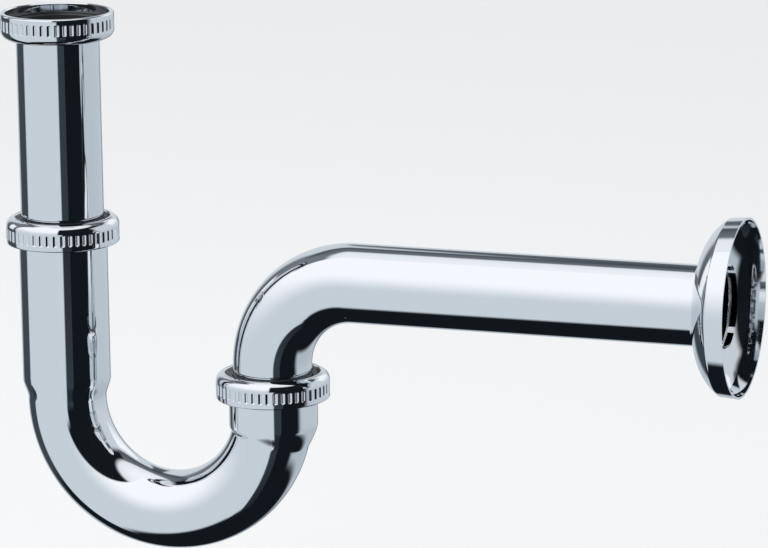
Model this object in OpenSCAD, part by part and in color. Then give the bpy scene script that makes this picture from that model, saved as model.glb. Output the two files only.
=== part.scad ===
// Tubular basin trap: a flanged inlet tube slides in a bent trap tube, which hangs on a bent
// outlet pipe, and a domed rosette on that pipe covers the hole in the wall.
// Origin: centre of the outlet pipe's open end. +X runs out of it into the wall, +Z is up.

/* [Outlet pipe] */
// Outside diameter of the outlet pipe
outlet_od = 32; // [30:0.5:33]
// Wall of every drawn tube
tube_wall = 1; // [0.8:0.1:1.3]
// Straight length from the bend to the open end
outlet_run = 150; // [120:1:240]
// Radius of the outlet bend, at the middle of the pipe
outlet_bend_r = 35.5; // [32:0.5:45]
// Straight length from the bend down to the pipe's lower end
outlet_leg = 20.8; // [20:0.1:40]
// How far that end reaches into the socket below it
outlet_insert = 13; // [12:0.5:14]

/* [Trap bend] */
// Outside diameter of the bent trap tube
trap_od = 32; // [30:0.5:33]
// Distance between the two upright legs
leg_spacing = 90; // [84:1:110]
// Height of the inlet socket's mouth above the centre of the trap bend
inlet_socket_top = 70; // [60:1:110]
// Height of the outlet socket's mouth above the centre of the trap bend
outlet_socket_top = 11.2; // [10.5:0.1:12]
// Length of the cone between the inlet socket and the bend
inlet_neck_len = 7; // [5:0.5:10]
// How far the outlet socket runs down past the centre of the trap bend
outlet_socket_drop = 6; // [5:0.5:8]
// Length of the cone under the outlet socket
outlet_neck_len = 7; // [6:0.5:9]
// How much that cone narrows, all round
outlet_neck_taper = 4.2; // [3.6:0.1:4.6]

/* [Inlet tube] */
// Outside diameter of the sliding inlet tube
inlet_od = 33.8; // [33.4:0.1:34.2]
// Length of the inlet tube below its flange
inlet_len = 121; // [100:1:180]
// How far its lower end reaches into the inlet socket
inlet_insert = 38.5; // [24:0.5:50]
// Thickness of the flange at its top
flange_t = 1.2; // [1:0.1:1.6]

/* [Nuts] */
// Height of a nut
nut_h = 10.8; // [10.2:0.1:14]
// Diameter of the nut's thread at its roots
thread_d = 42; // [41.9:0.1:42.4]
// Length of the threaded part of the nut
thread_len = 4; // [3.6:0.1:4.4]
// Radial depth of the plain chamber behind the thread
chamber_relief = 0.5; // [0.3:0.1:0.8]
// Wall of the nut round that chamber
nut_wall = 1.5; // [1.2:0.1:3]
// Thickness of the nut's rolled lip
lip_t = 1.6; // [1.2:0.1:2]
// How far the lip reaches in over the rings
lip_hold = 1.3; // [0.8:0.1:2]
// Radius of the nut's rolled shoulder
shoulder_r = 3.6; // [2.6:0.1:4]
// Number of grip notches round a nut
notch_count = 48; // [36:2:60]
// Height of a grip notch
notch_h = 4.4; // [3.5:0.1:5]
// Width of a grip notch
notch_w = 1.5; // [1:0.1:1.8]
// Depth of a grip notch
notch_depth = 0.5; // [0.3:0.05:0.7]
// Height of the notches' lower end above the nut's open end
notch_from = 2.4; // [1.8:0.1:3]

/* [Seals] */
// Height of a threaded collar
collar_h = 5.3; // [4:0.1:5.6]
// Thickness of a seal
seal_t = 2.1; // [1.6:0.1:2.2]
// Thickness of a pressing ring
press_t = 1; // [0.8:0.1:1.1]
// Length of the outlet seal's nose in the socket
seal_nose = 3; // [2:0.5:5]
// Thickness of the slip ring under the inlet flange
slip_t = 1.4; // [1:0.1:1.5]
// Thickness of the inlet gasket
gasket_t = 2.2; // [1.6:0.1:2.3]

/* [Rosette] */
// Diameter of the rosette at its rim
rosette_d = 70.6; // [64:0.2:90]
// Depth of the rosette's shell from its rim to its neck
rosette_depth = 16.2; // [15:0.1:24]
// Thickness of the rosette's sheet
rosette_t = 0.9; // [0.7:0.1:1.2]
// Length of the skirt behind the rim
skirt_len = 6.8; // [5:0.1:9]
// How much the skirt narrows from the rim to the crease
skirt_flare = 1.2; // [0:0.1:2]
// Radius of the dome's curve
dome_r = 22; // [20:0.5:30]
// Distance from the pipe's open end to the rim
rim_ahead = 9.4; // [6:0.1:14]
// Wall of the slotted clip inside the neck
clip_wall = 0.9; // [0.7:0.1:1.1]
// How far the clip reaches past the pipe's open end
clip_ahead = 2.6; // [1:0.1:4]
// Width of the clip's flange and height of its snap bead
clip_flange_w = 1.2; // [0.8:0.1:2]
// Thickness of the clip's flange
clip_flange_t = 0.8; // [0.6:0.1:1.2]
// Height of the bead that snaps in behind the shell
clip_bead = 0.5; // [0.3:0.1:0.8]
// Number of slots in the clip
slot_count = 4; // [3:1:6]
// Width of a slot in the clip
slot_w = 3.2; // [1.5:0.1:4]
// Length of a slot in the clip
slot_len = 5; // [3:0.5:6]

/* [Fits] */
// Radial clearance of a sliding or turning part on its tube
run_gap = 0.06; // [0.03:0.01:0.1]
// Radial clearance of the inlet tube in its socket
slide_gap = 0.1; // [0.05:0.01:0.1]
// Radial clearance of a collar in the nut's thread
thread_gap = 0.1; // [0.05:0.01:0.1]
// Radial clearance of the seals, rings and flange inside that thread
seat_gap = 0.4; // [0.3:0.05:0.6]
// Radial clearance between a loose ring and the tube in it
loose_gap = 0.3; // [0.2:0.05:0.4]
// Gap between flat faces that press on each other
face_gap = 0.1; // [0.05:0.05:0.2]
// Rounding of small edges
edge_r = 0.8; // [0.4:0.1:1]

/* [Hidden] */
$fn = 96;
cut_past = 1;
outlet_x = -(outlet_run + outlet_bend_r);
inlet_x = outlet_x - leg_spacing;
outlet_leg_top = -outlet_bend_r;
outlet_end_z = outlet_leg_top - outlet_leg;
outlet_mouth_z = outlet_end_z + outlet_insert;
arc_z = outlet_mouth_z - outlet_socket_top;
inlet_mouth_z = arc_z + inlet_socket_top;
inlet_top_z = inlet_mouth_z + inlet_len - inlet_insert;
arc_r = leg_spacing / 2;
outlet_r = outlet_od / 2;
trap_r = trap_od / 2;
inlet_r = inlet_od / 2;
inlet_bore_r = inlet_r - tube_wall;
socket_r = inlet_r + slide_gap + tube_wall;
thread_r = thread_d / 2;
collar_r = thread_r - thread_gap;
seat_r = thread_r - seat_gap;
chamber_r = thread_r + chamber_relief;
nut_r = chamber_r + nut_wall;
lip_r = seat_r - lip_hold;
nut_below_mouth = nut_h - lip_t - press_t - seal_t - 3 * face_gap;
inlet_nut_z = inlet_top_z - flange_t - slip_t - 2 * face_gap - lip_t;
rosette_r = rosette_d / 2;
neck_r = outlet_r + run_gap + clip_wall;
neck_x = rim_ahead - rosette_depth;

// A flat ring that stands on z = 0
module ring(outer_r, inner_r, h) {
    rotate_extrude() translate([inner_r, 0]) square([outer_r - inner_r, h]);
}

// Points of an arc in the plane of a profile
function arc(cx, cy, r, from, to, steps = 12) =
    [for (i = [0:steps]) let (a = from + (to - from) * i / steps) [cx + r * cos(a), cy + r * sin(a)]];

// Half of a nut's section: open end at z = 0, rolled lip at z = nut_h
module nut_section() {
    lip_edge = lip_t / 2;
    mouth_edge = edge_r / 2;
    polygon(concat(
        [[thread_r + mouth_edge, 0]],
        arc(nut_r - edge_r, edge_r, edge_r, -90, 0, 6),
        arc(nut_r - shoulder_r, nut_h - shoulder_r, shoulder_r, 0, 90, 16),
        arc(lip_r + lip_edge, nut_h - lip_edge, lip_edge, 90, 180, 6),
        [[lip_r, nut_h - lip_t], [chamber_r, nut_h - lip_t], [chamber_r, thread_len],
            [thread_r, thread_len], [thread_r, mouth_edge]]
    ));
}

// One knurled nut, standing on its open end
module nut() {
    groove_r = (pow(notch_w / 2, 2) + pow(notch_depth, 2)) / (2 * notch_depth);
    difference() {
        rotate_extrude() nut_section();
        for (i = [0:notch_count - 1]) {
            rotate([0, 0, i * 360 / notch_count])
                translate([nut_r - notch_depth + groove_r, 0, notch_from])
                    cylinder(r = groove_r, h = notch_h, $fn = 24);
        }
    }
}

// Solid rod along the outlet pipe's path, of a given radius
module outlet_rod(r, extra) {
    translate([outlet_x, 0, outlet_end_z - extra])
        cylinder(r = r, h = outlet_leg_top - outlet_end_z + extra);
    translate([outlet_x + outlet_bend_r, 0, outlet_leg_top])
        rotate([90, 0, 0])
            rotate([0, 0, 90])
                rotate_extrude(angle = 90) translate([outlet_bend_r, 0]) circle(r = r);
    translate([-outlet_run, 0, 0])
        rotate([0, 90, 0]) cylinder(r = r, h = outlet_run + extra);
}

module outlet_pipe() {
    color("gainsboro")
        difference() {
            outlet_rod(outlet_r, 0);
            outlet_rod(outlet_r - tube_wall, cut_past);
        }
}

// Solid form of the trap tube, smaller all round by a given wall
module trap_rod(inset, extra) {
    socket_h = inlet_socket_top - inlet_neck_len;
    mouth_h = outlet_socket_top + outlet_socket_drop;
    hidden_turn = asin(outlet_socket_drop / arc_r);
    translate([inlet_x, 0, arc_z + inlet_neck_len])
        cylinder(r = socket_r - inset, h = socket_h + extra);
    translate([inlet_x, 0, arc_z])
        cylinder(r1 = trap_r - inset, r2 = socket_r - inset, h = inlet_neck_len);
    translate([outlet_x - arc_r, 0, arc_z])
        rotate([90, 180, 0])
            rotate_extrude(angle = 180 - hidden_turn)
                translate([arc_r, 0]) circle(r = trap_r - inset);
    translate([outlet_x, 0, arc_z - outlet_socket_drop - outlet_neck_len])
        cylinder(
            r1 = socket_r - outlet_neck_taper - inset, r2 = socket_r - inset, h = outlet_neck_len
        );
    translate([outlet_x, 0, arc_z - outlet_socket_drop])
        cylinder(r = socket_r - inset, h = mouth_h + extra);
}

module trap_bend() {
    color("silver")
        difference() {
            trap_rod(0, 0);
            trap_rod(tube_wall, cut_past);
        }
}

// Threaded collar, soldered round a socket's mouth
module collar(x, mouth_z) {
    translate([x, 0, mouth_z - collar_h]) ring(collar_r, socket_r, collar_h);
}

module inlet_collar() {
    color("goldenrod") collar(inlet_x, inlet_mouth_z);
}

module outlet_collar() {
    color("goldenrod") collar(outlet_x, outlet_mouth_z);
}

module inlet_seal() {
    color("dimgray")
        translate([inlet_x, 0, inlet_mouth_z + face_gap])
            ring(seat_r, inlet_r + run_gap, seal_t);
}

module outlet_seal() {
    color("dimgray")
        translate([outlet_x, 0, outlet_mouth_z + face_gap]) {
            ring(seat_r, outlet_r + run_gap, seal_t);
            translate([0, 0, -face_gap - seal_nose])
                ring(socket_r - tube_wall - run_gap, outlet_r + run_gap, seal_nose + face_gap);
        }
}

// Ring between a seal and its nut's lip
module press_ring(x, mouth_z, bore_r) {
    translate([x, 0, mouth_z + seal_t + 2 * face_gap])
        ring(seat_r, bore_r + loose_gap, press_t);
}

module inlet_press_ring() {
    color("slategray") press_ring(inlet_x, inlet_mouth_z, inlet_r);
}

module outlet_press_ring() {
    color("slategray") press_ring(outlet_x, outlet_mouth_z, outlet_r);
}

module inlet_slip_nut() {
    color("lightsteelblue") translate([inlet_x, 0, inlet_mouth_z - nut_below_mouth]) nut();
}

module outlet_slip_nut() {
    color("lightsteelblue") translate([outlet_x, 0, outlet_mouth_z - nut_below_mouth]) nut();
}

module inlet_tube() {
    color("whitesmoke")
        translate([inlet_x, 0, inlet_top_z - inlet_len]) {
            ring(inlet_r, inlet_bore_r, inlet_len);
            translate([0, 0, inlet_len - flange_t]) ring(seat_r, inlet_bore_r, flange_t);
        }
}

module inlet_gasket() {
    color("black")
        translate([inlet_x, 0, inlet_top_z]) ring(seat_r, inlet_bore_r, gasket_t);
}

module inlet_slip_ring() {
    color("slategray")
        translate([inlet_x, 0, inlet_top_z - flange_t - face_gap - slip_t])
            ring(seat_r, inlet_r + loose_gap, slip_t);
}

// The same nut as the slip nuts, turned over so that its thread faces up
module inlet_nut() {
    color("lightsteelblue")
        translate([inlet_x, 0, inlet_nut_z + nut_h]) mirror([0, 0, 1]) nut();
}

// Half of the shell's section: neck face at z = 0, rim at z = rosette_depth
module shell_section() {
    crease = [rosette_r - skirt_flare / 2, rosette_depth - skirt_len];
    centre_r = crease.x - sqrt(pow(dome_r, 2) - pow(dome_r - crease.y, 2));
    crease_a = atan2(crease.y - dome_r, crease.x - centre_r);
    polygon(concat(
        [[neck_r / 2, 0]],
        arc(centre_r, dome_r, dome_r, -90, crease_a, 20),
        [[rosette_r, rosette_depth], [rosette_r - rosette_t, rosette_depth]],
        arc(centre_r, dome_r, dome_r - rosette_t, crease_a, -90, 20),
        [[neck_r / 2, rosette_t]]
    ));
}

module rosette() {
    color("lightgray")
        translate([neck_x, 0, 0])
            rotate([0, 90, 0])
                difference() {
                    rotate_extrude() shell_section();
                    translate([0, 0, -cut_past]) cylinder(r = neck_r + run_gap, h = rosette_t + 2 * cut_past);
                }
}

// Slotted clip that grips the pipe and snaps into the shell's neck
module rosette_clip() {
    bore_r = outlet_r + run_gap;
    tip_z = clip_ahead - neck_x;
    color("darkgray")
        translate([neck_x, 0, 0])
            rotate([0, 90, 0])
                difference() {
                    union() {
                        ring(neck_r, bore_r, tip_z);
                        translate([0, 0, -face_gap - clip_flange_t])
                            ring(neck_r + clip_flange_w, bore_r, clip_flange_t);
                        translate([0, 0, -2 * face_gap]) ring(neck_r, bore_r, 3 * face_gap);
                        translate([0, 0, rosette_t + face_gap])
                            ring(neck_r + clip_bead, bore_r, clip_flange_t);
                    }
                    for (i = [0:slot_count - 1]) {
                        rotate([0, 0, (i + 0.5) * 360 / slot_count])
                            translate([0, -slot_w / 2, tip_z - slot_len])
                                cube([neck_r * 2, slot_w, slot_len + cut_past]);
                    }
                }
}

outlet_pipe();
rosette();
rosette_clip();
trap_bend();
inlet_collar();
outlet_collar();
inlet_seal();
outlet_seal();
inlet_press_ring();
outlet_press_ring();
inlet_slip_nut();
outlet_slip_nut();
inlet_tube();
inlet_gasket();
inlet_slip_ring();
inlet_nut();
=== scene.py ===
import math
import bpy
from mathutils import Matrix, Vector


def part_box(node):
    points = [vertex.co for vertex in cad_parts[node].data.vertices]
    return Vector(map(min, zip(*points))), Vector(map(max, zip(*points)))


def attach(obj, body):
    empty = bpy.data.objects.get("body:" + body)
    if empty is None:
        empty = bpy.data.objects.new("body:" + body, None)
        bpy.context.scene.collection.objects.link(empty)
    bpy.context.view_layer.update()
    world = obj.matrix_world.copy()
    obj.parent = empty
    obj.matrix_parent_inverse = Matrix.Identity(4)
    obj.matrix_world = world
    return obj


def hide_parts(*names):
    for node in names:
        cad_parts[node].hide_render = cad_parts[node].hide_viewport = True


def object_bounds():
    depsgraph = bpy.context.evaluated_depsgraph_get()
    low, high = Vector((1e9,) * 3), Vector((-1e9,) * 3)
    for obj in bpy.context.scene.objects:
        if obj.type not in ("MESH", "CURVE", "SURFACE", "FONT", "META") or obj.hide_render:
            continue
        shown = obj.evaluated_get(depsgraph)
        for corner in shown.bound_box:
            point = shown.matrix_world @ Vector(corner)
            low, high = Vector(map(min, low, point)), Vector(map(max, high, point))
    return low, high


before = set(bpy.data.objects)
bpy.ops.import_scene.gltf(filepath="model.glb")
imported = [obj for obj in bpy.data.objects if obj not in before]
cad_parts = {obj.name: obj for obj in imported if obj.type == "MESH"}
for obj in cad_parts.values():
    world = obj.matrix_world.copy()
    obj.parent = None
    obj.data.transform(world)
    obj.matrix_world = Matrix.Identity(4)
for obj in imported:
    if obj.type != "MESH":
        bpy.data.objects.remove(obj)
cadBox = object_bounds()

mm = 0.001
scene = bpy.context.scene

# Places taken from the CAD frame
pipeLow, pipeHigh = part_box("outlet_pipe")
trapLow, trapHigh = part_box("trap_bend")
tubeLow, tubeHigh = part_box("inlet_tube")
pipeR = pipeHigh.y
socketR = trapHigh.y
inletX = trapLow.x + socketR
outletX = trapHigh.x - socketR
arcR = (outletX - inletX) / 2
tubeR = outletX - pipeLow.x


# Colours and nodes
def toLinear(hexColour):
    parts = [int(hexColour[i:i + 2], 16) / 255 for i in (1, 3, 5)]
    return [c / 12.92 if c <= 0.04045 else ((c + 0.055) / 1.055) ** 2.4 for c in parts] + [1]


def addNode(tree, kind, settings=None, links=None):
    node = tree.nodes.new(kind)
    for key, value in (settings or {}).items():
        if key in node.inputs:
            node.inputs[key].default_value = value
        else:
            setattr(node, key, value)
    for key, source in (links or {}).items():
        tree.links.new(source, node.inputs[key])
    return node


def startMaterial(name):
    material = bpy.data.materials.new(name)
    material.use_nodes = True
    material.node_tree.nodes.clear()
    return material, material.node_tree


def finishMaterial(tree, shader):
    addNode(tree, "ShaderNodeOutputMaterial", links={"Surface": shader.outputs[0]})


# Meshes: every piece is a loft of rings round a line
def ring(centre, across, along, radius):
    return {"centre": Vector(centre), "across": Vector(across), "along": Vector(along), "radius": radius}


def loft(name, rings, columns, closed=True, radiusAt=None):
    verts = []
    for row, item in enumerate(rings):
        for column in range(columns):
            angle = 2 * math.pi * column / columns
            radius = item["radius"] if radiusAt is None else radiusAt(row, angle, item["radius"])
            side = item["across"] * math.cos(angle) + item["along"] * math.sin(angle)
            verts.append(item["centre"] + side * radius)
    count = len(rings)
    faces = []
    for row in range(count if closed else count - 1):
        nextRow = (row + 1) % count
        for column in range(columns):
            nextColumn = (column + 1) % columns
            faces.append((row * columns + column, row * columns + nextColumn,
                          nextRow * columns + nextColumn, nextRow * columns + column))
    mesh = bpy.data.meshes.new(name)
    mesh.from_pydata(verts, [], faces)
    mesh.validate()
    piece = bpy.data.objects.new(name, mesh)
    scene.collection.objects.link(piece)
    return piece


def smooth(piece, sharpDegrees=35):
    piece.data.shade_smooth()
    piece.data.set_sharp_from_angle(angle=math.radians(sharpDegrees))


# A section with rounded corners: points are (radius, height, corner radius)
def roundedSection(points, steps=5):
    result = []
    count = len(points)
    for i, (r, z, corner) in enumerate(points):
        here = Vector((r, z))
        if corner <= 0:
            result.append(here)
            continue
        before = Vector(points[i - 1][:2]) - here
        after = Vector(points[(i + 1) % count][:2]) - here
        before.normalize()
        after.normalize()
        half = before.angle(after) / 2
        reach = corner / math.tan(half)
        middle = here + (before + after).normalized() * (corner / math.sin(half))
        start = here + before * reach - middle
        end = here + after * reach - middle
        sweep = start.angle_signed(end)
        for k in range(steps + 1):
            turn = -sweep * k / steps
            c, s = math.cos(turn), math.sin(turn)
            result.append(middle + Vector((start.x * c - start.y * s, start.x * s + start.y * c)))
    return [(p.x, p.y) for p in result]


def turned(name, section, place, columns=192, axis="z", radiusAt=None):
    rings = []
    for radius, height in section:
        if axis == "z":
            rings.append(ring((place[0], place[1], place[2] + height), (1, 0, 0), (0, 1, 0), radius))
        else:
            rings.append(ring((place[0] + height, place[1], place[2]), (0, 1, 0), (0, 0, 1), radius))
    return loft(name, rings, columns, True, radiusAt)


# A bent tube from stations (centre, direction, outer radius), with rounded ends
def bentTube(name, stations, wall, edge, columns=144, edgeSteps=4):
    across = Vector((0, 1, 0))

    def at(centre, direction, radius):
        return ring(centre, across, direction.cross(across), radius)

    outer = [at(c, d, r) for c, d, r in stations]
    inner = [at(c, d, r - wall) for c, d, r in stations]
    outer, inner = outer[1:-1], inner[1:-1]
    ends = []
    for (centre, direction, radius), sign in ((stations[-1], 1), (stations[0], -1)):
        rim = []
        for k in range(2 * edgeSteps + 2):
            quarter = min(k, edgeSteps) if k <= edgeSteps else k - 1
            turn = math.pi / 2 * quarter / edgeSteps
            if k <= edgeSteps:
                r = radius - edge + edge * math.cos(turn)
                back = edge * (1 - math.sin(turn))
            else:
                turn -= math.pi / 2
                r = radius - wall + edge - edge * math.sin(turn)
                back = edge * (1 - math.cos(turn))
            rim.append(at(centre - direction * back * sign, direction, r))
        ends.append(rim)
    rings = outer + ends[0] + inner[::-1] + ends[1][::-1]
    return loft(name, rings, columns)


def straight(start, end, radius, count):
    direction = (end - start).normalized()
    return [(start.lerp(end, k / count), direction, radius) for k in range(count + 1)]


def arc(centre, radius, fromAngle, toAngle, tubeRadius, count):
    turnSign = 1 if toAngle > fromAngle else -1
    stations = []
    for k in range(count + 1):
        a = fromAngle + (toAngle - fromAngle) * k / count
        out = Vector((math.cos(a), 0, math.sin(a)))
        along = Vector((-math.sin(a), 0, math.cos(a))) * turnSign
        stations.append((centre + out * radius, along, tubeRadius))
    return stations


# Materials
chromeSettings = {
    "colour": "#e4e7ea",
    "roughness": 0.035,
    "waveSize": 9 * mm,         # slow waves left by drawing and polishing the tube
    "waveDepth": 0.004 * mm,
    "grainSize": 0.25 * mm,     # marks of the last polishing wheel
    "grainDepth": 0.00025 * mm,
}


# Chrome plate on polished brass tube: mirror bright and slightly blue, with soft waves in its reflections
def chromePlate(name, settings, roughness=None, wave=1.0):
    material, tree = startMaterial(name)
    place = addNode(tree, "ShaderNodeTexCoord").outputs["Object"]
    waves = addNode(tree, "ShaderNodeTexNoise", {"Scale": 1 / settings["waveSize"], "Detail": 1.0,
                                                 "Roughness": 0.4}, {"Vector": place})
    grain = addNode(tree, "ShaderNodeTexNoise", {"Scale": 1 / settings["grainSize"], "Detail": 2.0}, {"Vector": place})
    slow = addNode(tree, "ShaderNodeBump", {"Strength": 1.0, "Distance": settings["waveDepth"] * wave},
                   {"Height": waves.outputs[0]})
    fine = addNode(tree, "ShaderNodeBump", {"Strength": 1.0, "Distance": settings["grainDepth"]},
                   {"Height": grain.outputs[0], "Normal": slow.outputs[0]})
    base = settings["roughness"] if roughness is None else roughness
    cloud = addNode(tree, "ShaderNodeTexNoise", {"Scale": 1 / (14 * mm), "Detail": 3.0}, {"Vector": place})
    haze = addNode(tree, "ShaderNodeMapRange", {"From Min": 0.3, "From Max": 0.7, "To Min": base * 0.7,
                                                "To Max": base * 1.4}, {"Value": cloud.outputs[0]})
    shader = addNode(tree, "ShaderNodeBsdfPrincipled",
                     {"Base Color": toLinear(settings["colour"]), "Metallic": 1.0},
                     {"Roughness": haze.outputs[0], "Normal": fine.outputs[0]})
    finishMaterial(tree, shader)
    return material


# EPDM rubber, moulded: dull black with a fine bloom
def mouldedRubber(name, colour, roughness):
    material, tree = startMaterial(name)
    place = addNode(tree, "ShaderNodeTexCoord").outputs["Object"]
    bloom = addNode(tree, "ShaderNodeTexNoise", {"Scale": 1 / (3 * mm), "Detail": 4.0}, {"Vector": place})
    tint = addNode(tree, "ShaderNodeMix", {"data_type": "RGBA", "blend_type": "MIX"})
    tint.inputs[6].default_value = toLinear(colour)
    tint.inputs[7].default_value = [min(1, c * 1.8 + 0.01) for c in toLinear(colour)[:3]] + [1]
    tree.links.new(bloom.outputs[0], tint.inputs[0])
    grain = addNode(tree, "ShaderNodeTexNoise", {"Scale": 1 / (0.3 * mm), "Detail": 2.0}, {"Vector": place})
    bump = addNode(tree, "ShaderNodeBump", {"Strength": 1.0, "Distance": 0.01 * mm}, {"Height": grain.outputs[0]})
    shader = addNode(tree, "ShaderNodeBsdfPrincipled", {"Roughness": roughness},
                     {"Base Color": tint.outputs[2], "Normal": bump.outputs[0]})
    finishMaterial(tree, shader)
    return material


chromeTube = chromePlate("chrome_plated_tube", chromeSettings)
chromeNut = chromePlate("chrome_plated_nut", chromeSettings, 0.05)
chromeSheet = chromePlate("chrome_plated_sheet", chromeSettings, 0.045)
rubber = mouldedRubber("moulded_epdm_rubber", "#1a1b1c", 0.62)
plastic = mouldedRubber("moulded_grey_polyethylene", "#3a3d40", 0.42)
print("materials ready")


def dress(piece, material, body, slotName, *nodes):
    piece.data.materials.append(material)
    smooth(piece)
    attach(piece, body)
    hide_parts(*nodes)
    return piece


# Outlet pipe: one tube, short leg, bend and long run
outletPipe = {
    "wall": 1 * mm,
    "bendRadius": 35.5 * mm,
    "edge": 0.35 * mm,
}
bendCentre = Vector((outletX + outletPipe["bendRadius"], 0, -outletPipe["bendRadius"]))
legBottom = Vector((outletX, 0, pipeLow.z))
legTop = Vector((outletX, 0, bendCentre.z))
runStart = Vector((bendCentre.x, 0, 0))
runEnd = Vector((pipeHigh.x, 0, 0))
stations = straight(legBottom, legTop, pipeR, 6)
stations += arc(bendCentre, outletPipe["bendRadius"], math.pi, math.pi / 2, pipeR, 64)[1:]
stations += straight(runStart, runEnd, pipeR, 40)[1:]
dress(bentTube("outlet_pipe_tube", stations, outletPipe["wall"], outletPipe["edge"]),
      chromeTube, "outlet", "chromed_brass", "outlet_pipe")
print("outlet pipe ready")

# Trap bend: one tube with two widened sockets
trapTube = {
    "wall": 1 * mm,
    "tubeRadius": 16 * mm,
    "inletNeck": 7 * mm,
    "outletDrop": 6 * mm,
    "outletNeck": 5.5 * mm,
    "edge": 0.35 * mm,
}
trapR = trapTube["tubeRadius"]
arcZ = trapLow.z + arcR + trapR
trapCentre = Vector(((inletX + outletX) / 2, 0, arcZ))
inletMouth = Vector((inletX, 0, trapHigh.z))
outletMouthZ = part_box("outlet_collar")[1].z
neckTop = Vector((inletX, 0, arcZ + trapTube["inletNeck"]))


def ease(t):
    return t * t * (3 - 2 * t)


stations = straight(inletMouth, neckTop, socketR, 24)
neckSteps = 24
for k in range(1, neckSteps + 1):
    t = k / neckSteps
    centre = neckTop.lerp(Vector((inletX, 0, arcZ)), t)
    stations.append((centre, Vector((0, 0, -1)), socketR + (trapR - socketR) * (0.5 * t + 0.5 * ease(t))))
dropAngle = math.asin(trapTube["outletDrop"] / arcR)
neckAngle = trapTube["outletNeck"] / arcR
stations += arc(trapCentre, arcR, math.pi, 2 * math.pi - dropAngle - neckAngle, trapR, 150)[1:]
socketFoot = Vector((outletX, 0, arcZ - trapTube["outletDrop"]))
for k in range(1, neckSteps + 1):
    t = k / neckSteps
    a = 2 * math.pi - dropAngle - neckAngle * (1 - t)
    onArc = trapCentre + Vector((math.cos(a), 0, math.sin(a))) * arcR
    centre = onArc.lerp(Vector((outletX, 0, onArc.z)), ease(t))
    direction = Vector((-math.sin(a), 0, math.cos(a))).lerp(Vector((0, 0, 1)), ease(t)).normalized()
    stations.append((centre, direction, trapR + (socketR - trapR) * (0.5 * t + 0.5 * ease(t))))
stations += straight(Vector((outletX, 0, stations[-1][0].z)), Vector((outletX, 0, outletMouthZ)), socketR, 10)[1:]
dress(bentTube("trap_bend_tube", stations, trapTube["wall"], trapTube["edge"]),
      chromeTube, "trap", "chromed_brass", "trap_bend")
print("trap bend ready")

# Inlet tube: straight, with a flange at its top
inletTube = {"wall": 1 * mm, "flange": 1.2 * mm, "flangeRadius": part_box("inlet_gasket")[1].y, "edge": 0.3 * mm}
slideR = 16.9 * mm
length = tubeHigh.z - tubeLow.z
e = inletTube["edge"]
section = roundedSection([
    (slideR - inletTube["wall"], 0, e), (slideR, 0, e),
    (slideR, length - inletTube["flange"], e),
    (inletTube["flangeRadius"], length - inletTube["flange"], e),
    (inletTube["flangeRadius"], length, e), (slideR - inletTube["wall"], length, e),
])
dress(turned("inlet_tube_shell", section, (inletX, 0, tubeLow.z)),
      chromeTube, "inlet_tube", "chromed_brass", "inlet_tube")
print("inlet tube ready")

# Nuts: turned section with a ring of pressed grip notches
nutForm = {
    "notches": 48,
    "notchFrom": 2.4 * mm,
    "notchHeight": 4.4 * mm,
    "notchWidth": 1.5 * mm,
    "notchDepth": 0.5 * mm,
    "threadRadius": 21 * mm,
    "chamberRadius": 21.5 * mm,
    "threadLength": 4 * mm,
    "lip": 1.6 * mm,
    "lipRadius": 19.3 * mm,
    "shoulder": 3.6 * mm,
    "edge": 0.8 * mm,
}


def nutSection(form, height, outer):
    lipEdge = form["lip"] / 2
    mouth = form["edge"] / 2
    points = [(form["threadRadius"] + mouth, 0)]
    for k in range(9):
        a = math.radians(-90 + 90 * k / 8)
        points.append((outer - form["edge"] * (1 - math.cos(a)), form["edge"] * (1 + math.sin(a))))
    low = form["edge"]
    high = height - form["shoulder"]
    rows = 30
    points += [(outer, low + (high - low) * k / rows) for k in range(1, rows)]
    for k in range(25):
        a = math.radians(90 * k / 24)
        points.append((outer - form["shoulder"] * (1 - math.cos(a)), high + form["shoulder"] * math.sin(a)))
    for k in range(9):
        a = math.radians(90 + 90 * k / 8)
        points.append((form["lipRadius"] + lipEdge * (1 + math.cos(a)), height - lipEdge * (1 - math.sin(a))))
    points += [(form["lipRadius"], height - form["lip"]), (form["chamberRadius"], height - form["lip"]),
               (form["chamberRadius"], form["threadLength"]), (form["threadRadius"], form["threadLength"]),
               (form["threadRadius"], mouth)]
    return points


def makeNut(name, node, body, opensUp):
    low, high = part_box(node)
    height = high.z - low.z
    outer = (high.y - low.y) / 2
    centreX = (low.x + high.x) / 2
    section = nutSection(nutForm, height, outer)
    form = nutForm
    soft = 0.25 * mm

    def notched(row, angle, radius):
        z = section[row][1]
        if radius < outer - form["notchDepth"] or radius < form["chamberRadius"] + 0.5 * mm:
            return radius
        step = 2 * math.pi / form["notches"]
        off = (angle + step / 2) % step - step / 2
        across = 1 - (abs(off) * radius / (form["notchWidth"] / 2)) ** 2
        if across <= 0:
            return radius
        fromEnd = min(z - form["notchFrom"], form["notchFrom"] + form["notchHeight"] - z)
        if fromEnd <= 0:
            return radius
        return radius - form["notchDepth"] * across * ease(min(1, fromEnd / soft))

    place = (centreX, 0, low.z)
    if opensUp:
        rows = [(r, height - z) for r, z in section]
        piece = turned(name, rows, place, form["notches"] * 14, radiusAt=notched)
    else:
        piece = turned(name, section, place, form["notches"] * 14, radiusAt=notched)
    return dress(piece, chromeNut, body, "chromed_nut", node)


makeNut("inlet_union_nut", "inlet_nut", "inlet_nut", True)
makeNut("inlet_slip_nut_shell", "inlet_slip_nut", "inlet_slip_nut", False)
makeNut("outlet_slip_nut_shell", "outlet_slip_nut", "outlet_slip_nut", False)
print("nuts ready")

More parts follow.
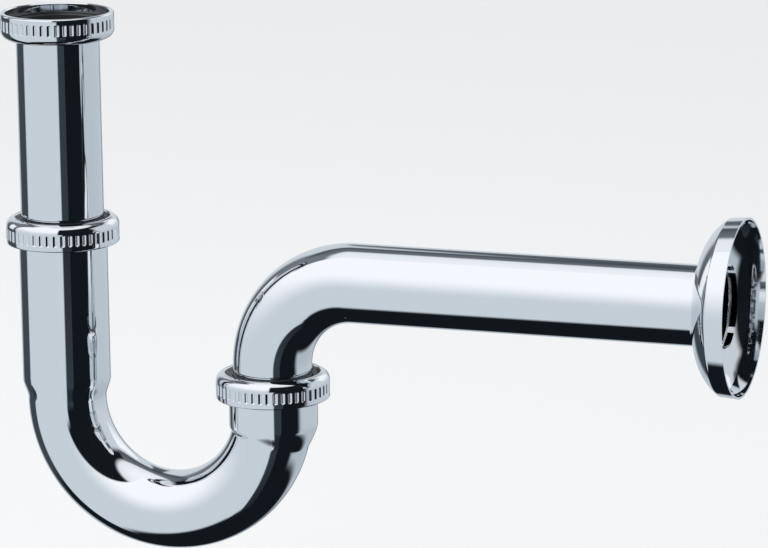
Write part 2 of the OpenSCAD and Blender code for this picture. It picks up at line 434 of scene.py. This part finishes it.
# Rosette: pressed shell, dome with a flared skirt
rosetteForm = {
    "sheet": 0.9 * mm,
    "skirt": 6.8 * mm,
    "flare": 1.2 * mm,
    "domeRadius": 22 * mm,
    "neckRadius": 17.02 * mm,
    "hem": 0.4 * mm,
}
rosetteLow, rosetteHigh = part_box("rosette")
rosetteR = rosetteHigh.y
depth = rosetteHigh.x - rosetteLow.x
crease = Vector((rosetteR - rosetteForm["flare"] / 2, depth - rosetteForm["skirt"]))
domeR = rosetteForm["domeRadius"]
domeX = crease.x - math.sqrt(domeR ** 2 - (domeR - crease.y) ** 2)
creaseAngle = math.atan2(crease.y - domeR, crease.x - domeX)
neckAngleOut = -math.acos(min(1, (rosetteForm["neckRadius"] - domeX) / domeR))
outline = []
for k in range(49):
    a = neckAngleOut + (creaseAngle - neckAngleOut) * k / 48
    outline.append((domeX + domeR * math.cos(a), domeR + domeR * math.sin(a)))
for k in range(1, 13):
    t = k / 12
    outline.append((crease.x + (rosetteR - crease.x) * t, crease.y + rosetteForm["skirt"] * t))
inside = []
for k in range(13):
    t = 1 - k / 12
    inside.append((crease.x - rosetteForm["sheet"] + (rosetteR - crease.x) * t, crease.y + rosetteForm["skirt"] * t))
innerR = domeR - rosetteForm["sheet"]
neckAngleIn = -math.acos(min(1, (rosetteForm["neckRadius"] - domeX) / innerR))
for k in range(1, 49):
    a = creaseAngle + (neckAngleIn - creaseAngle) * k / 48
    inside.append((domeX + innerR * math.cos(a), domeR + innerR * math.sin(a)))
dress(turned("rosette_shell", outline + inside, (rosetteLow.x, 0, 0), 256, "x"),
      chromeSheet, "rosette", "chromed_brass", "rosette")
print("rosette ready")

for nodeName, material in (("rosette_clip", chromeSheet), ("inlet_collar", chromeSheet), ("outlet_collar", chromeSheet),
                           ("inlet_seal", rubber), ("outlet_seal", rubber), ("inlet_gasket", rubber),
                           ("inlet_press_ring", plastic), ("outlet_press_ring", plastic),
                           ("inlet_slip_ring", plastic)):
    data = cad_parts[nodeName].data
    data.materials.clear()
    data.materials.append(material)

# Camera, fitted to the photograph's tube edges
cameraForm = {
    "azimuth": 18.987,
    "elevation": 12.671,
    "roll": -0.651,
    "lens": 201.56,
    "sensor": 36.0,
    "place": (404.37 * mm, -1575.25 * mm, 379.09 * mm),
}


def makeCamera(form):
    az, el, roll = (math.radians(form[key]) for key in ("azimuth", "elevation", "roll"))
    back = Vector((math.sin(az) * math.cos(el), -math.cos(az) * math.cos(el), math.sin(el)))
    right = Vector((math.cos(az), math.sin(az), 0))
    up = back.cross(right)
    right, up = right * math.cos(roll) + up * math.sin(roll), up * math.cos(roll) - right * math.sin(roll)
    data = bpy.data.cameras.new("photo_camera")
    data.lens = form["lens"]
    data.sensor_width = form["sensor"]
    data.clip_start = 0.05
    data.clip_end = 60
    camera = bpy.data.objects.new("photo_camera", data)
    scene.collection.objects.link(camera)
    turn = Matrix((right, up, back)).transposed().to_4x4()
    camera.matrix_world = Matrix.Translation(Vector(form["place"])) @ turn
    return camera


scene.camera = makeCamera(cameraForm)
scene.view_settings.view_transform = "Standard"

# Floor: plain pale paper under the hanging trap
studio = {
    "floorDrop": 85 * mm,
    "floorSize": 12.0,
    "floorColour": "#f6f7f8",
    "ambient": 0.86,        # plain light from all round, for everything that isn't a mirror
    "mirrorGain": 1.24,     # the plating gives back about four fifths of what it sees
    "lampPower": 14.0,
    "lampSize": 1.6,
    "lampPlace": (-0.9, -1.1, 1.7),
    "room": "#12171c",
}
floorZ = cadBox[0][2] - studio["floorDrop"]
half = studio["floorSize"] / 2
floorMesh = bpy.data.meshes.new("studio_floor")
floorMesh.from_pydata([(-half, -half, floorZ), (half, -half, floorZ), (half, half, floorZ), (-half, half, floorZ)],
                      [], [(0, 1, 2, 3)])
floor = bpy.data.objects.new("studio_floor", floorMesh)
scene.collection.objects.link(floor)
floorPaint, tree = startMaterial("matt_studio_paper")
shader = addNode(tree, "ShaderNodeBsdfPrincipled", {"Base Color": toLinear(studio["floorColour"]), "Roughness": 0.9})
finishMaterial(tree, shader)
floorMesh.materials.append(floorPaint)
floor.visible_glossy = False

# Panels and cards round the set, as the plating sees them, later ones in front.
# Azimuth in degrees from +Y towards +X, so the camera stands at 161, which is -199 here.
# "az" and "el" are the edges, "soft" how far they blur, "colour" at the bottom and top of "fade"
panels = [
    {"name": "overhead_scrim", "az": (-240, 140), "el": (58, 100), "soft": (1, 8),
     "colour": ("#e2e6ea", "#f1f3f6"), "fade": (60, 80)},
    {"name": "side_flag_bounce", "az": (-240, -197), "el": (-62, -12), "soft": (6, 6),
     "colour": ("#22292f", "#343b41"), "fade": (-60, -15)},
    {"name": "main_softbox", "az": (-192, -91), "el": (-58, 100), "soft": (4, 8),
     "colour": ("#c7ced4", "#f8f9fc"), "fade": (-8, 38)},
    {"name": "softbox_skirt", "az": (-201, -185), "el": (-58, -6), "soft": (4, 6),
     "colour": ("#c5ccd2", "#c8cfd5"), "fade": (-50, -10)},
    {"name": "dim_corner", "az": (-92, -54), "el": (-34, 58), "soft": (8, 10),
     "colour": ("#3c4349", "#70767c"), "fade": (-20, 40)},
    {"name": "back_wall", "az": (-50, 88), "el": (-40, 42), "soft": (16, 10),
     "colour": ("#aeb7be", "#c6ccd2"), "fade": (-30, 5)},
    {"name": "upper_wall_shade", "az": (-60, 52), "el": (40, 58), "soft": (8, 6),
     "colour": ("#4c5258", "#666c72"), "fade": (42, 56)},
    {"name": "bright_card_behind", "az": (3, 38), "el": (6, 33), "soft": (6, 6),
     "colour": ("#dfe3e7", "#f4f6f8"), "fade": (8, 24)},
    {"name": "wall_joint", "az": (-12, 3), "el": (-42, 6), "soft": (10, 8),
     "colour": ("#80878e", "#8d949a"), "fade": (-30, 0)},
    {"name": "stand_behind", "az": (-22, -10), "el": (18, 50), "soft": (4, 8),
     "colour": ("#5a6066", "#42484e"), "fade": (20, 45)},
    {"name": "reflector_card", "az": (-84, -66), "el": (-3, 25), "soft": (5, 5),
     "colour": ("#e6eaed", "#f2f4f6"), "fade": (0, 20)},
]


def stepNode(tree, value, edge, soft, low=0, high=1):
    return addNode(tree, "ShaderNodeMapRange",
                   {"interpolation_type": "SMOOTHSTEP", "From Min": edge - soft / 2, "From Max": edge + soft / 2,
                    "To Min": low, "To Max": high}, {"Value": value}).outputs[0]


def mathNode(tree, operation, first, second=None, third=None):
    node = addNode(tree, "ShaderNodeMath", {"operation": operation})
    for socket, value in zip(node.inputs, (first, second, third)):
        if value is None:
            continue
        if isinstance(value, (int, float)):
            socket.default_value = value
        else:
            tree.links.new(value, socket)
    return node.outputs[0]


def mixColours(tree, factor, first, second):
    node = addNode(tree, "ShaderNodeMix", {"data_type": "RGBA"})
    for socket, value in zip((node.inputs[0], node.inputs[6], node.inputs[7]), (factor, first, second)):
        if isinstance(value, list):
            socket.default_value = value
        else:
            tree.links.new(value, socket)
    return node.outputs[2]


def paintStudio(tree):
    toward = addNode(tree, "ShaderNodeTexCoord").outputs["Generated"]
    axes = addNode(tree, "ShaderNodeSeparateXYZ", links={0: toward}).outputs
    rawAz = mathNode(tree, "DEGREES", mathNode(tree, "ARCTAN2", axes[0], axes[1]))
    az = mathNode(tree, "WRAP", rawAz, 140, -220)
    el = mathNode(tree, "DEGREES", mathNode(tree, "ARCSINE", axes[2]))
    picture = toLinear(studio["room"])
    for panel in panels:
        softAz, softEl = panel["soft"]
        mask = stepNode(tree, az, panel["az"][0], softAz)
        for value, edge, soft, low in ((az, panel["az"][1], softAz, 1), (el, panel["el"][0], softEl, 0),
                                       (el, panel["el"][1], softEl, 1)):
            mask = mathNode(tree, "MULTIPLY", mask, stepNode(tree, value, edge, soft, low, 1 - low))
        low, high = panel["fade"]
        fade = stepNode(tree, el, (low + high) / 2, high - low)
        colour = mixColours(tree, fade, toLinear(panel["colour"][0]), toLinear(panel["colour"][1]))
        picture = mixColours(tree, mask, picture, colour)
    return picture


world = bpy.data.worlds.new("studio_world")
world.use_nodes = True
tree = world.node_tree
tree.nodes.clear()
ray = addNode(tree, "ShaderNodeLightPath").outputs
plain = addNode(tree, "ShaderNodeBackground", {"Color": (1, 1, 1, 1), "Strength": studio["ambient"]})
mirrored = addNode(tree, "ShaderNodeBackground", {"Strength": studio["mirrorGain"]}, {"Color": paintStudio(tree)})
seen = addNode(tree, "ShaderNodeBackground", {"Color": (1, 1, 1, 1), "Strength": 1.0})
lit = addNode(tree, "ShaderNodeMixShader", links={0: ray["Is Glossy Ray"], 1: plain.outputs[0], 2: mirrored.outputs[0]})
whole = addNode(tree, "ShaderNodeMixShader", links={0: ray["Is Camera Ray"], 1: lit.outputs[0], 2: seen.outputs[0]})
addNode(tree, "ShaderNodeOutputWorld", links={"Surface": whole.outputs[0]})
scene.world = world

# Lamp: one wide soft lamp high on the left, for the floor's shadow
lampData = bpy.data.lights.new("softbox_lamp", "AREA")
lampData.shape = "SQUARE"
lampData.size = studio["lampSize"]
lampData.energy = studio["lampPower"]
lamp = bpy.data.objects.new("softbox_lamp", lampData)
scene.collection.objects.link(lamp)
lampPlace = Vector(studio["lampPlace"])
aim = Vector((inletX / 2, 0, floorZ)) - lampPlace
lamp.location = lampPlace
lamp.rotation_euler = aim.to_track_quat("-Z", "Y").to_euler()
lamp.visible_glossy = False
print("studio ready")
